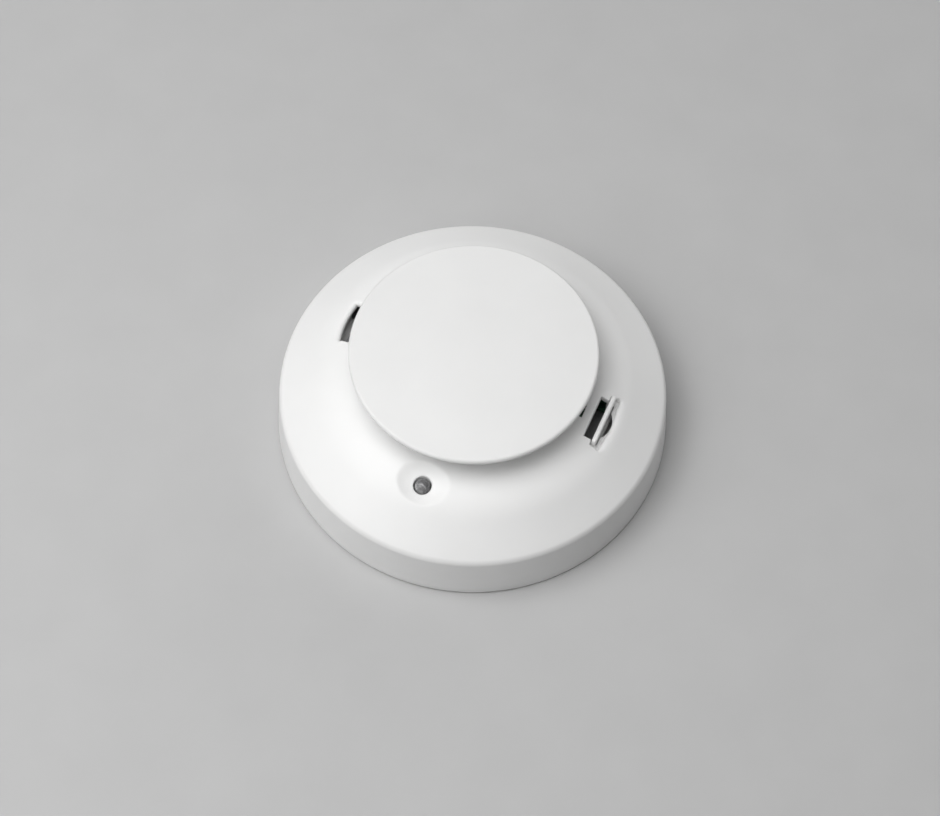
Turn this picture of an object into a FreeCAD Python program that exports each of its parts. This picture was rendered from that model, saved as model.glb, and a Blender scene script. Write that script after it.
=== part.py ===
import FreeCAD, Part
import math
import os

# Plug-in heat detector for a ceiling: a mounting base, and a head that turns and locks on it.
#
# Frame: millimetres. The origin is the centre of the base's back face, the one that meets the
# ceiling, and +Z runs away from that face towards the room. The indicator lamp is on the -Y side.
# Every piece is one solid, or one group of identical solids, written to its own file.
#
# Sub-parts that sit away from the axis are drawn on the +X axis, where x is the radius and y the
# tangent, and then turned about Z to their own place.

V = FreeCAD.Vector
ORIGIN = V(0, 0, 0)
X_AXIS = V(1, 0, 0)
Y_AXIS = V(0, 1, 0)
Z_AXIS = V(0, 0, 1)

# how far pieces of one moulding run into each other before they are joined
MERGE = 0.4

# ---- driving dimensions -------------------------------------------------------------------------

# outer cover: a nearly upright skirt, a rounded edge and a low dome with a flat top
COVER_R = 63.5
COVER_BOTTOM_Z = 0.8
SKIRT_DRAFT = 5.6
EDGE_ROUND_R = 3.0
DOME_TOP_Z = 30.5
DOME_FLAT_R = 35.0
DOME_ROUND_R = 29.3
DOME_SLOPE = 33.0
COVER_WALL = 2.0
COVER_HOLE_R = 20.0
RIB_R = (56.5, 60.4)
RIB_Z = (12.5, 18.5)
RIB_T = 1.6
RIB_COUNT = 6
FIRST_RIB_AZIMUTH = 40

# cap over the heat sensor
CAP_R = 38.7
CAP_RIM_Z = 42.1
CAP_RIM_T = 2.2
CAP_CROWN = 1.6
CAP_POCKET_R = 18.4
CAP_POCKET_DEPTH = 1.4
PEG_R = 1.5
PEG_LENGTH = 5.0
PEG_HOLE_EXTRA_DEPTH = 0.5

# cage of vanes that holds the cap up and lets the air through
CAGE_FOOT_R = (18.2, 30.5)
CAGE_FOOT_T = 1.2
VANE_R = (19.0, 29.5)
VANE_T = 1.6
VANE_COUNT = 8
VANE_PITCH = 360 / VANE_COUNT
FIRST_VANE_AZIMUTH = VANE_PITCH / 2
POST_R = 3.2
POST_PITCH_R = 25.0
POST_AZIMUTHS = tuple(FIRST_VANE_AZIMUTH + 90 * i for i in range(4))
PEG_CLEARANCE = 0.05
CAGE_LEG_AZIMUTHS = (45, 135, 225, 315)
CAGE_LEG_ANGLE = 16.0
CAGE_LEG_T = 1.5
CAGE_LEG_BOTTOM_Z = 25.2
CAGE_BARB_T = 1.5
CAGE_BARB_H = 1.6
CAGE_BARB_PLAY = 0.1

# slots in the cover: the latch side and the hook side face each other
LATCH_AZIMUTH = -22.5
HOOK_AZIMUTH = 157.5
SLOT_HALF = 7.4
LATCH_SLOT_U = (40.3, 44.9)
THUMB_ROUND_R = 7.3
THUMB_REACH_U = 46.6
THUMB_SCOOP_RUN = 2.4
GROOVE_U = (43.0, 46.2)
GROOVE_HALF = 9.3
GROOVE_DEPTH = 2.2
CORE_HOLE_U = (34.9, 37.4)
CORE_HOLE_HALF = 2.1
SLOT_DEPTH = 9.0
HOOK_SLOT_U = (40.0, 44.4)
HOOK_ROUND_R = 16.0
HOOK_SCOOP_RUN = 1.9

# release latch: a rocker with a fin that stands in the slot
FIN_U = (43.3, 44.8)
FIN_HALF = 8.8
FIN_TOP_Z = 31.1
FIN_BOTTOM_Z = 28.2
LATCH_ARM_U = (43.3, 44.25)
LATCH_HALF = 7.2
LATCH_BOTTOM_Z = 14.0
LATCH_BARB_U = 46.2
LATCH_BARB_H = 1.4
PIVOT_Z = 22.0
PIVOT_PIN_R = 1.0
PIVOT_HOLE_R = 1.06
CHEEK_Y = (7.9, 10.0)
CHEEK_U = (42.0, 46.4)
CHEEK_BOTTOM_Z = 20.2

# catch on the carrier, under which the latch's barb rests
CATCH_POST_U = (48.0, 49.6)
CATCH_STEP_U = 46.35
CATCH_STEP_H = 1.4
CATCH_HALF = 6.0
CATCH_TOP_Z = 17.2

# fixed hook on the carrier, and the cover's ledge that it holds
HOOK_ARM_U = (40.0, 41.8)
HOOK_BARB_U = 43.2
HOOK_BARB_H = 1.4
HOOK_HALF = 5.0
HOOK_TOP_Z = 22.0
LEDGE_WALL_U = (45.6, 47.2)
LEDGE_STEP_U = 43.3
LEDGE_HALF = 6.0
LEDGE_Z = (19.2, 20.4)

# indicator lamp, a standard 5 mm one, in a round dish
LAMP_AZIMUTH = -110.0
LAMP_R = 42.4
DISH_RIM_R = 8.5
DISH_DEPTH = 1.8
LAMP_BODY_R = 2.5
LAMP_FLANGE_R = 2.9
LAMP_HOLE_R = 2.8
LAMP_TOP_Z = 29.4
LAMP_HEIGHT = 8.6
LEAD_R = 0.3
LAMP_LEAD_HALF_PITCH = 1.27
SPACER_R = (1.9, 3.2)

# rear carrier of the head
CARRIER_R = 59.9
CARRIER_Z = (10.5, 12.3)
COLLAR_R = (44.5, 46.5)
COLLAR_BOTTOM_Z = 4.2
BAYONET_AZIMUTHS = (30, 150, 270)
LUG_ANGLE = 14.0
LUG_R = 50.6
LUG_Z = (5.4, 7.0)
SEAL_R = (57.4, 59.6)
SEAL_Z = (9.2, 10.5)

# circuit board and its fastening
BOARD_R = 46.0
BOARD_Z = (14.5, 16.1)
BOARD_NOTCH_U = 38.6
BOARD_NOTCH_HALF = 10.5
STANDOFF_AZIMUTHS = (0, 120, 240)
STANDOFF_PITCH_R = 37.0
STANDOFF_R = 3.0
SCREW_R = 1.0
SCREW_HEAD_R = 2.6
SCREW_HEAD_H = 1.7
SCREW_TIP_Z = 11.4
SCREW_HOLE_CLEARANCE = 0.05
DRIVE_WIDTH = 0.7
DRIVE_REACH = 0.6

# electrical contacts between the head and the base
CONTACT_AZIMUTHS = (45, 135, 225, 315)
CONTACT_U = 34.0
SHOE_HALF_U = 3.0
SHOE_HALF_V = 4.0
SHOE_Z = (8.4, 9.0)
STEM_HALF_U = 0.3
STEM_HALF_V = 2.5
STEM_CLEARANCE = 0.1
TERMINAL_HALF_U = 3.5
STRIP_T = 0.5
STRIP_END_V = -18.5
STRIP_BEND_V = -8.0
STRIP_TIP_Z = 6.0
CREST_Z = 7.7
CREST_FALL = 0.3
CREST_HALF_V = 1.5
TERMINAL_SCREW_V = -14.0
CLAMP_HALF = 3.6
CLAMP_T = 1.2
TERMINAL_SCREW_R = 1.5
TERMINAL_HEAD_R = 3.0
TERMINAL_HEAD_H = 2.4
TERMINAL_HOLE_DEPTH = 1.5

# mounting base
BASE_R = 60.0
BASE_T = 2.5
RIM_T = 2.0
RIM_TOP_Z = 9.0
WIRE_HOLE_R = 12.0
WALL_R = (51.2, 53.2)
WALL_TOP_Z = 8.8
LIP_R = 47.0
LIP_BOTTOM_Z = 7.4
LIP_ANGLE = 18.0
STOP_R = 47.2
STOP_ANGLE = 1.5
STOP_GAP_ANGLE = 0.6
TWIST_ANGLE = 18.0
FIXING_SLOT_HALF_W = 2.3
FIXING_WIDE = (30.0, 12.0)
FIXING_NARROW = (25.0, 9.0)

# heat sensor: a bead on two leads in a sleeve, and a second bead inside for comparison
SLEEVE_R = (1.3, 2.3)
SLEEVE_TOP_Z = 33.0
SLEEVE_FOOT_R = 4.3
SLEEVE_FOOT_H = 2.0
BEAD_R = 1.6
BEAD_NECK_R = 1.3
BEAD_NECK_DROP = 2.2
BEAD_Z = 36.2
SENSOR_LEAD_HALF_PITCH = 0.8
INNER_BEAD_AT = (24.0, 12.0)
INNER_BEAD_Z = 20.5

# parts on the circuit board: (x, y) of the centre, then the size along x, y and z
CONTROLLER = ((10.0, 16.0), (10.0, 10.0, 1.6))
RECTIFIER = ((-12.0, 20.0), (8.0, 6.4, 2.6))
REGULATORS = (((-12.0, -14.0), (6.5, 3.6, 1.7)), ((4.0, -30.0), (6.5, 3.6, 1.7)))
RESISTOR_SIZE = (3.2, 1.6, 0.6)
RESISTOR_ROW_X = (-6.0, 0.0, 6.0, 12.0)
RESISTOR_ROWS_Y = (-20.0, -24.0)
CAPACITORS_AT = ((-24.0, 4.0), (-24.0, -6.0))
CAPACITOR_R = 3.15
CAPACITOR_H = 7.0
SUPPRESSOR_AT = (22.0, -16.0)
SUPPRESSOR_R = 3.6
SUPPRESSOR_T = 3.0


# ---- shape helpers ------------------------------------------------------------------------------

def cylinder(radius, z_low, z_high, x=0.0, y=0.0):
    return Part.makeCylinder(radius, z_high - z_low, V(x, y, z_low))


def tube(radii, z_low, z_high, x=0.0, y=0.0):
    inner, outer = radii
    return cylinder(outer, z_low, z_high, x, y).cut(cylinder(inner, z_low, z_high, x, y))


def block(x_span, y_span, z_span):
    size = [high - low for low, high in (x_span, y_span, z_span)]
    return Part.makeBox(*size, V(x_span[0], y_span[0], z_span[0]))


def symmetric_block(x_span, y_half, z_span):
    return block(x_span, (-y_half, y_half), z_span)


def turned(shape, azimuth):
    copy = shape.copy()
    copy.rotate(ORIGIN, Z_AXIS, azimuth)
    return copy


def sector(radii, z_low, z_high, centre, width):
    """A ring segment, width degrees wide about the azimuth centre."""
    corners = [V(radii[0], 0, z_low), V(radii[1], 0, z_low), V(radii[1], 0, z_high), V(radii[0], 0, z_high)]
    face = Part.Face(Part.makePolygon(corners + corners[:1]))
    return turned(face.revolve(ORIGIN, Z_AXIS, width), centre - width / 2)


def fused(shapes):
    return shapes[0].multiFuse(list(shapes[1:])).removeSplitter()


def group(shapes):
    return Part.makeCompound(list(shapes))


def revolved(edges):
    return Part.Face(Part.Wire(edges)).revolve(ORIGIN, Z_AXIS, 360)


def line(start, end):
    return Part.LineSegment(start, end).toShape()


def profile_arc(centre, radius, from_deg, to_deg):
    """An arc in the XZ plane; the angle is measured from +X towards +Z."""
    points = []
    for degrees in (from_deg, (from_deg + to_deg) / 2, to_deg):
        angle = math.radians(degrees)
        points.append(centre + V(radius * math.cos(angle), 0, radius * math.sin(angle)))
    return Part.Arc(*points).toShape()


def meeting_point(normal_a, distance_a, normal_b, distance_b):
    """Where two lines of the XZ plane meet, each given by its normal and its distance from 0."""
    det = normal_a.x * normal_b.z - normal_a.z * normal_b.x
    x = (distance_a * normal_b.z - distance_b * normal_a.z) / det
    z = (normal_a.x * distance_b - normal_b.x * distance_a) / det
    return V(x, 0, z)


def direction(degrees):
    return V(math.cos(math.radians(degrees)), 0, math.sin(math.radians(degrees)))


def polar(radius, azimuth):
    angle = math.radians(azimuth)
    return radius * math.cos(angle), radius * math.sin(angle)


# ---- cover --------------------------------------------------------------------------------------

def dome_centre():
    return V(DOME_FLAT_R, 0, DOME_TOP_Z - DOME_ROUND_R)


def edge_centre():
    """Centre of the round between the sloping dome and the skirt."""
    slope_normal = direction(90 - DOME_SLOPE)
    skirt_normal = direction(SKIRT_DRAFT)
    slope_distance = dome_centre().dot(slope_normal) + DOME_ROUND_R
    skirt_distance = V(COVER_R, 0, COVER_BOTTOM_Z).dot(skirt_normal)
    return meeting_point(slope_normal, slope_distance - EDGE_ROUND_R, skirt_normal, skirt_distance - EDGE_ROUND_R)


def dome_body(inset, bottom_z):
    """The solid inside the cover's outline, moved inwards by inset, down to bottom_z."""
    dome_r = DOME_ROUND_R - inset
    edge_r = EDGE_ROUND_R - inset
    dome = profile_arc(dome_centre(), dome_r, 90, 90 - DOME_SLOPE)
    edge = profile_arc(edge_centre(), edge_r, 90 - DOME_SLOPE, SKIRT_DRAFT)
    edge_end = edge_centre() + direction(SKIRT_DRAFT) * edge_r
    flare = (edge_end.z - bottom_z) * math.tan(math.radians(SKIRT_DRAFT))
    foot = V(edge_end.x + flare, 0, bottom_z)
    apex = V(0, 0, DOME_TOP_Z - inset)
    slope_start = dome_centre() + direction(90 - DOME_SLOPE) * dome_r
    slope_end = edge_centre() + direction(90 - DOME_SLOPE) * edge_r
    return revolved([
        line(apex, V(DOME_FLAT_R, 0, apex.z)),
        dome,
        line(slope_start, slope_end),
        edge,
        line(edge_end, foot),
        line(foot, V(0, 0, bottom_z)),
        line(V(0, 0, bottom_z), apex),
    ])


def dome_height(radius):
    """Height of the cover's outer face over the round part of the dome."""
    return dome_centre().z + math.sqrt(DOME_ROUND_R ** 2 - (radius - DOME_FLAT_R) ** 2)


def scooped_opening(centre_u, round_r, run):
    """Round-ended hole whose wall leans outwards by run over the cover's thickness."""
    low_z, high_z = DOME_TOP_Z - SLOT_DEPTH, DOME_TOP_Z + 1
    scoop_z = dome_height(centre_u + round_r) - COVER_WALL
    rise = high_z - scoop_z
    cone = Part.makeCone(round_r, round_r + run * rise / COVER_WALL, rise, V(centre_u, 0, scoop_z))
    return [cylinder(round_r, low_z, high_z, centre_u), cone]


def latch_slot():
    """Straight opening with a sunken groove for the fin, and a round scooped thumb hole beside it."""
    low_u, high_u = LATCH_SLOT_U
    z_span = (DOME_TOP_Z - SLOT_DEPTH, DOME_TOP_Z + 1)
    groove_z = dome_height(GROOVE_U[0]) - GROOVE_DEPTH
    pieces = [symmetric_block(LATCH_SLOT_U, SLOT_HALF, z_span)]
    pieces.append(symmetric_block(GROOVE_U, GROOVE_HALF, (groove_z, z_span[1])))
    pieces.append(symmetric_block(CORE_HOLE_U, CORE_HOLE_HALF, z_span))
    outer_side = symmetric_block((high_u - 1, COVER_R), GROOVE_HALF, z_span)
    for shape in scooped_opening(THUMB_REACH_U - THUMB_ROUND_R, THUMB_ROUND_R, THUMB_SCOOP_RUN):
        pieces.append(shape.common(outer_side))
    return turned(group(pieces), LATCH_AZIMUTH)


def hook_slot():
    """Opening over the fixed hook, its outer wall sloping down into it."""
    low_u, high_u = HOOK_SLOT_U
    strip = symmetric_block((low_u, COVER_R), SLOT_HALF, (DOME_TOP_Z - SLOT_DEPTH, DOME_TOP_Z + 1))
    opening = scooped_opening(high_u - HOOK_ROUND_R, HOOK_ROUND_R, HOOK_SCOOP_RUN)
    return turned(group([shape.common(strip) for shape in opening]), HOOK_AZIMUTH)


def lamp_dish():
    """Ball that cuts the dish square to the sloping dome, and the hole for the lamp in its middle."""
    x, y = polar(LAMP_R, LAMP_AZIMUTH)
    ball_r = (DISH_RIM_R ** 2 + DISH_DEPTH ** 2) / (2 * DISH_DEPTH)
    lean = math.asin((LAMP_R - DOME_FLAT_R) / DOME_ROUND_R)
    rise = ball_r - DISH_DEPTH
    ball_x, ball_y = polar(LAMP_R + rise * math.sin(lean), LAMP_AZIMUTH)
    ball = Part.makeSphere(ball_r, V(ball_x, ball_y, dome_height(LAMP_R) + rise * math.cos(lean)))
    return group([ball, cylinder(LAMP_HOLE_R, DOME_TOP_Z - SLOT_DEPTH, DOME_TOP_Z, x, y)])


def lamp_boss():
    """Thickening under the dish."""
    x, y = polar(LAMP_R, LAMP_AZIMUTH)
    boss_bottom = dome_height(LAMP_R) - DISH_DEPTH - COVER_WALL
    return cylinder(DISH_RIM_R, boss_bottom, DOME_TOP_Z, x, y)


def latch_cheeks():
    """Two cheeks under the cover that carry the latch's pivot."""
    cheeks = []
    pivot_u = (FIN_U[0] + FIN_U[1]) / 2
    hole = Part.makeCylinder(PIVOT_HOLE_R, 2 * CHEEK_Y[1], V(pivot_u, -CHEEK_Y[1], PIVOT_Z), Y_AXIS)
    for side in (-1, 1):
        span = sorted((side * CHEEK_Y[0], side * CHEEK_Y[1]))
        cheeks.append(block(CHEEK_U, span, (CHEEK_BOTTOM_Z, DOME_TOP_Z)).cut(hole))
    return turned(group(cheeks), LATCH_AZIMUTH)


def hook_ledge():
    """Wall under the cover with the step that the carrier's fixed hook holds."""
    bottom_z, step_z = LEDGE_Z
    wall = symmetric_block(LEDGE_WALL_U, LEDGE_HALF, (bottom_z, DOME_TOP_Z))
    step = symmetric_block((LEDGE_STEP_U, LEDGE_WALL_U[1]), LEDGE_HALF, (bottom_z, step_z))
    return turned(wall.fuse(step), HOOK_AZIMUTH)


def locating_ribs():
    rib = symmetric_block(RIB_R, RIB_T / 2, RIB_Z)
    pitch = 360 / RIB_COUNT
    return group([turned(rib, FIRST_RIB_AZIMUTH + pitch * i) for i in range(RIB_COUNT)])


def make_cover():
    outer = dome_body(0.0, COVER_BOTTOM_Z)
    inner = dome_body(COVER_WALL, COVER_BOTTOM_Z - 1)
    added = [lamp_boss()] + latch_cheeks().Solids + [hook_ledge()] + locating_ribs().Solids
    added = [piece.common(outer) for piece in added]
    cover = fused([outer.cut(inner)] + added)
    cuts = [cylinder(COVER_HOLE_R, DOME_TOP_Z - 5, DOME_TOP_Z + 1)]
    for cutter in (latch_slot(), hook_slot(), lamp_dish()):
        cuts.extend(cutter.Solids)
    return cover.cut(cuts).removeSplitter()


# ---- cap and cage -------------------------------------------------------------------------------

def make_cap():
    round_r = CAP_RIM_T / 2
    flat_r = CAP_R - round_r
    bottom_z = CAP_RIM_Z - CAP_RIM_T
    crown_r = (flat_r ** 2 + CAP_CROWN ** 2) / (2 * CAP_CROWN)
    crown_centre = V(0, 0, CAP_RIM_Z + CAP_CROWN - crown_r)
    crown_edge = math.degrees(math.acos(flat_r / crown_r))
    rim = profile_arc(V(flat_r, 0, CAP_RIM_Z - round_r), round_r, -90, 90)
    crown = profile_arc(crown_centre, crown_r, crown_edge, 90)
    bottom_centre = V(0, 0, bottom_z)
    disc = revolved([
        line(bottom_centre, V(flat_r, 0, bottom_z)),
        rim,
        crown,
        line(V(0, 0, CAP_RIM_Z + CAP_CROWN), bottom_centre),
    ])
    disc = disc.cut(cylinder(CAP_POCKET_R, bottom_z - 1, bottom_z + CAP_POCKET_DEPTH))
    pegs = []
    for azimuth in POST_AZIMUTHS:
        pegs.append(cylinder(PEG_R, bottom_z - PEG_LENGTH, bottom_z + MERGE, *polar(POST_PITCH_R, azimuth)))
    return fused([disc] + pegs)


def make_cage():
    foot_top = DOME_TOP_Z + CAGE_FOOT_T
    top = CAP_RIM_Z - CAP_RIM_T
    pieces = [tube(CAGE_FOOT_R, DOME_TOP_Z, foot_top)]
    vane = symmetric_block(VANE_R, VANE_T / 2, (DOME_TOP_Z, top))
    pieces += [turned(vane, FIRST_VANE_AZIMUTH + VANE_PITCH * i) for i in range(VANE_COUNT)]
    pieces += [cylinder(POST_R, DOME_TOP_Z, top, *polar(POST_PITCH_R, a)) for a in POST_AZIMUTHS]
    inner_r = CAGE_FOOT_R[0]
    leg_r = inner_r + CAGE_LEG_T
    barb_top = DOME_TOP_Z - COVER_WALL - CAGE_BARB_PLAY
    for azimuth in CAGE_LEG_AZIMUTHS:
        pieces.append(sector((inner_r, leg_r), CAGE_LEG_BOTTOM_Z, foot_top, azimuth, CAGE_LEG_ANGLE))
        barb_radii = (leg_r - MERGE, leg_r + CAGE_BARB_T)
        pieces.append(sector(barb_radii, barb_top - CAGE_BARB_H, barb_top, azimuth, CAGE_LEG_ANGLE))
    cage = fused(pieces)
    hole_r = PEG_R + PEG_CLEARANCE
    hole_bottom = top - PEG_LENGTH - PEG_HOLE_EXTRA_DEPTH
    holes = [cylinder(hole_r, hole_bottom, top + 1, *polar(POST_PITCH_R, a)) for a in POST_AZIMUTHS]
    return cage.cut(holes)


# ---- release latch ------------------------------------------------------------------------------

def make_latch():
    """Rocker: the fin on top is pushed outwards and the barb at the foot swings inwards."""
    low_u, high_u = FIN_U
    pivot_u = (low_u + high_u) / 2
    fin_round = (high_u - low_u) / 2
    fin = symmetric_block(FIN_U, FIN_HALF, (FIN_BOTTOM_Z, FIN_TOP_Z - fin_round))
    fin_top = Part.makeCylinder(fin_round, 2 * FIN_HALF, V(pivot_u, -FIN_HALF, FIN_TOP_Z - fin_round), Y_AXIS)
    arm = symmetric_block(LATCH_ARM_U, LATCH_HALF, (LATCH_BOTTOM_Z, FIN_BOTTOM_Z + MERGE))
    barb_z = (LATCH_BOTTOM_Z, LATCH_BOTTOM_Z + LATCH_BARB_H)
    barb = symmetric_block((LATCH_ARM_U[1] - MERGE, LATCH_BARB_U), LATCH_HALF, barb_z)
    pins = Part.makeCylinder(PIVOT_PIN_R, 2 * CHEEK_Y[1], V(pivot_u, -CHEEK_Y[1], PIVOT_Z), Y_AXIS)
    return turned(fused([fin, fin_top, arm, barb, pins]), LATCH_AZIMUTH)


# ---- indicator lamp -----------------------------------------------------------------------------

def make_lamp():
    x, y = polar(LAMP_R, LAMP_AZIMUTH)
    bottom = LAMP_TOP_Z - LAMP_HEIGHT
    dome_z = LAMP_TOP_Z - LAMP_BODY_R
    flange = cylinder(LAMP_FLANGE_R, bottom, bottom + 1, x, y)
    body = cylinder(LAMP_BODY_R, bottom, dome_z, x, y)
    dome = Part.makeSphere(LAMP_BODY_R, V(x, y, dome_z))
    return fused([flange, body, dome])


def make_lamp_spacer():
    return tube(SPACER_R, BOARD_Z[1], LAMP_TOP_Z - LAMP_HEIGHT, *polar(LAMP_R, LAMP_AZIMUTH))


def make_lamp_leads():
    bottom = LAMP_TOP_Z - LAMP_HEIGHT
    lead = cylinder(LEAD_R, BOARD_Z[1], bottom, LAMP_R, LAMP_LEAD_HALF_PITCH)
    other = cylinder(LEAD_R, BOARD_Z[1], bottom, LAMP_R, -LAMP_LEAD_HALF_PITCH)
    return group([turned(lead, LAMP_AZIMUTH), turned(other, LAMP_AZIMUTH)])


# ---- carrier and board --------------------------------------------------------------------------

def fixed_hook():
    """Upright hook that holds the cover's ledge on the side away from the latch."""
    arm = symmetric_block(HOOK_ARM_U, HOOK_HALF, (CARRIER_Z[1] - MERGE, HOOK_TOP_Z))
    barb = symmetric_block((HOOK_ARM_U[1] - MERGE, HOOK_BARB_U), HOOK_HALF, (HOOK_TOP_Z - HOOK_BARB_H, HOOK_TOP_Z))
    return turned(arm.fuse(barb), HOOK_AZIMUTH)


def latch_catch():
    """Step that the latch's barb rests under, in front of the barb by a hair's breadth."""
    post = symmetric_block(CATCH_POST_U, CATCH_HALF, (CARRIER_Z[1] - MERGE, CATCH_TOP_Z))
    step = symmetric_block((CATCH_STEP_U, CATCH_POST_U[1]), CATCH_HALF, (CATCH_TOP_Z - CATCH_STEP_H, CATCH_TOP_Z))
    return turned(post.fuse(step), LATCH_AZIMUTH)


def make_carrier():
    plate = cylinder(CARRIER_R, *CARRIER_Z)
    pieces = [plate, tube(COLLAR_R, COLLAR_BOTTOM_Z, CARRIER_Z[1])]
    for azimuth in BAYONET_AZIMUTHS:
        pieces.append(sector((COLLAR_R[1] - MERGE, LUG_R), *LUG_Z, azimuth, LUG_ANGLE))
    for azimuth in STANDOFF_AZIMUTHS:
        x, y = polar(STANDOFF_PITCH_R, azimuth)
        pieces.append(cylinder(STANDOFF_R, CARRIER_Z[0], BOARD_Z[0], x, y))
    pieces += [fixed_hook(), latch_catch()]
    carrier = fused(pieces)
    hole_r = SCREW_R + SCREW_HOLE_CLEARANCE
    holes = []
    for azimuth in STANDOFF_AZIMUTHS:
        holes.append(cylinder(hole_r, SCREW_TIP_Z - MERGE, BOARD_Z[0] + 1, *polar(STANDOFF_PITCH_R, azimuth)))
    half_u = STEM_HALF_U + STEM_CLEARANCE
    half_v = STEM_HALF_V + STEM_CLEARANCE
    slit = symmetric_block((CONTACT_U - half_u, CONTACT_U + half_u), half_v, (CARRIER_Z[0] - 1, CARRIER_Z[1] + 1))
    holes += [turned(slit, azimuth) for azimuth in CONTACT_AZIMUTHS]
    return carrier.cut(holes)


def make_board():
    board = cylinder(BOARD_R, *BOARD_Z)
    notch = symmetric_block((BOARD_NOTCH_U, BOARD_R + 1), BOARD_NOTCH_HALF, (BOARD_Z[0] - 1, BOARD_Z[1] + 1))
    hole_r = SCREW_R + SCREW_HOLE_CLEARANCE
    cuts = [turned(notch, LATCH_AZIMUTH), turned(notch, HOOK_AZIMUTH)]
    for azimuth in STANDOFF_AZIMUTHS:
        cuts.append(cylinder(hole_r, BOARD_Z[0] - 1, BOARD_Z[1] + 1, *polar(STANDOFF_PITCH_R, azimuth)))
    return board.cut(cuts)


def cross_slot(x, y, z_top, reach):
    """Cross recess cut into a screw head."""
    long_bar = block((x - reach, x + reach), (y - DRIVE_WIDTH / 2, y + DRIVE_WIDTH / 2), (z_top - 1, z_top + 1))
    cross_bar = block((x - DRIVE_WIDTH / 2, x + DRIVE_WIDTH / 2), (y - reach, y + reach), (z_top - 1, z_top + 1))
    return [long_bar, cross_bar]


def screw(shank_r, head_r, head_h, z_tip, z_seat, x, y):
    shank = cylinder(shank_r, z_tip, z_seat + MERGE, x, y)
    head = cylinder(head_r, z_seat, z_seat + head_h, x, y)
    return shank.fuse(head).removeSplitter().cut(cross_slot(x, y, z_seat + head_h, head_r * DRIVE_REACH))


def make_board_screws():
    screws = []
    for azimuth in STANDOFF_AZIMUTHS:
        x, y = polar(STANDOFF_PITCH_R, azimuth)
        screws.append(screw(SCREW_R, SCREW_HEAD_R, SCREW_HEAD_H, SCREW_TIP_Z, BOARD_Z[1], x, y))
    return group(screws)


def make_contact_blades():
    shoe = symmetric_block((CONTACT_U - SHOE_HALF_U, CONTACT_U + SHOE_HALF_U), SHOE_HALF_V, SHOE_Z)
    stem_u = (CONTACT_U - STEM_HALF_U, CONTACT_U + STEM_HALF_U)
    stem = symmetric_block(stem_u, STEM_HALF_V, (SHOE_Z[0], BOARD_Z[0]))
    blade = fused([shoe, stem])
    return group([turned(blade, azimuth) for azimuth in CONTACT_AZIMUTHS])


def make_base_seal():
    return tube(SEAL_R, *SEAL_Z)


# ---- parts on the board -------------------------------------------------------------------------

def chip(centre, size):
    x, y = centre
    length, width, height = size
    x_span = (x - length / 2, x + length / 2)
    y_span = (y - width / 2, y + width / 2)
    return block(x_span, y_span, (BOARD_Z[1], BOARD_Z[1] + height))


def make_resistors():
    return group([chip((x, y), RESISTOR_SIZE) for x in RESISTOR_ROW_X for y in RESISTOR_ROWS_Y])


def make_capacitors():
    top = BOARD_Z[1] + CAPACITOR_H
    cans = []
    for x, y in CAPACITORS_AT:
        cans.append(cylinder(CAPACITOR_R, BOARD_Z[1], top, x, y))
    return group(cans)


def make_suppressor():
    """Disc-shaped surge suppressor that stands on its edge."""
    x, y = SUPPRESSOR_AT
    return Part.makeCylinder(SUPPRESSOR_R, SUPPRESSOR_T, V(x, y, BOARD_Z[1] + SUPPRESSOR_R), X_AXIS)


# ---- heat sensor --------------------------------------------------------------------------------

def sensing_bead(x, y, bead_z):
    """Ball with a short neck where its two leads go in."""
    ball = Part.makeSphere(BEAD_R, V(x, y, bead_z))
    return ball.fuse(cylinder(BEAD_NECK_R, bead_z - BEAD_NECK_DROP, bead_z, x, y)).removeSplitter()


def sensor_leads(x, y, top):
    return [cylinder(LEAD_R, BOARD_Z[1], top, x + side * SENSOR_LEAD_HALF_PITCH, y) for side in (-1, 1)]


def make_sensor_bead():
    return sensing_bead(0, 0, BEAD_Z)


def make_sensor_leads():
    return group(sensor_leads(0, 0, BEAD_Z - BEAD_NECK_DROP))


def make_sensor_sleeve():
    """Insulating sleeve round the leads, on a foot that stands on the board."""
    foot = tube((SLEEVE_R[0], SLEEVE_FOOT_R), BOARD_Z[1], BOARD_Z[1] + SLEEVE_FOOT_H)
    return fused([tube(SLEEVE_R, BOARD_Z[1], SLEEVE_TOP_Z), foot])


def make_inner_sensor():
    x, y = INNER_BEAD_AT
    leads = sensor_leads(x, y, INNER_BEAD_Z - BEAD_NECK_DROP + LEAD_R)
    return fused([sensing_bead(x, y, INNER_BEAD_Z)] + leads)


# ---- mounting base ------------------------------------------------------------------------------

def fixing_slot(centre, length):
    """Screw slot through the base plate, long along X, centred at x = centre."""
    reach = length / 2 - FIXING_SLOT_HALF_W
    z_span = (-1, BASE_T + 1)
    middle = symmetric_block((centre - reach, centre + reach), FIXING_SLOT_HALF_W, z_span)
    ends = [cylinder(FIXING_SLOT_HALF_W, *z_span, centre + side * reach, 0) for side in (-1, 1)]
    return fused([middle] + ends)


def bayonet_station(azimuth):
    """Lip that holds one lug, the stop at its locked end and the stop at its open end."""
    rest_edge = LUG_ANGLE / 2 + STOP_GAP_ANGLE + STOP_ANGLE / 2
    lip = sector((LIP_R, WALL_R[0] + MERGE), LIP_BOTTOM_Z, WALL_TOP_Z, azimuth, LIP_ANGLE)
    stops = []
    for centre in (azimuth - rest_edge, azimuth + TWIST_ANGLE + rest_edge):
        stops.append(sector((STOP_R, WALL_R[0] + MERGE), BASE_T - MERGE, WALL_TOP_Z, centre, STOP_ANGLE))
    return [lip] + stops


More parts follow.
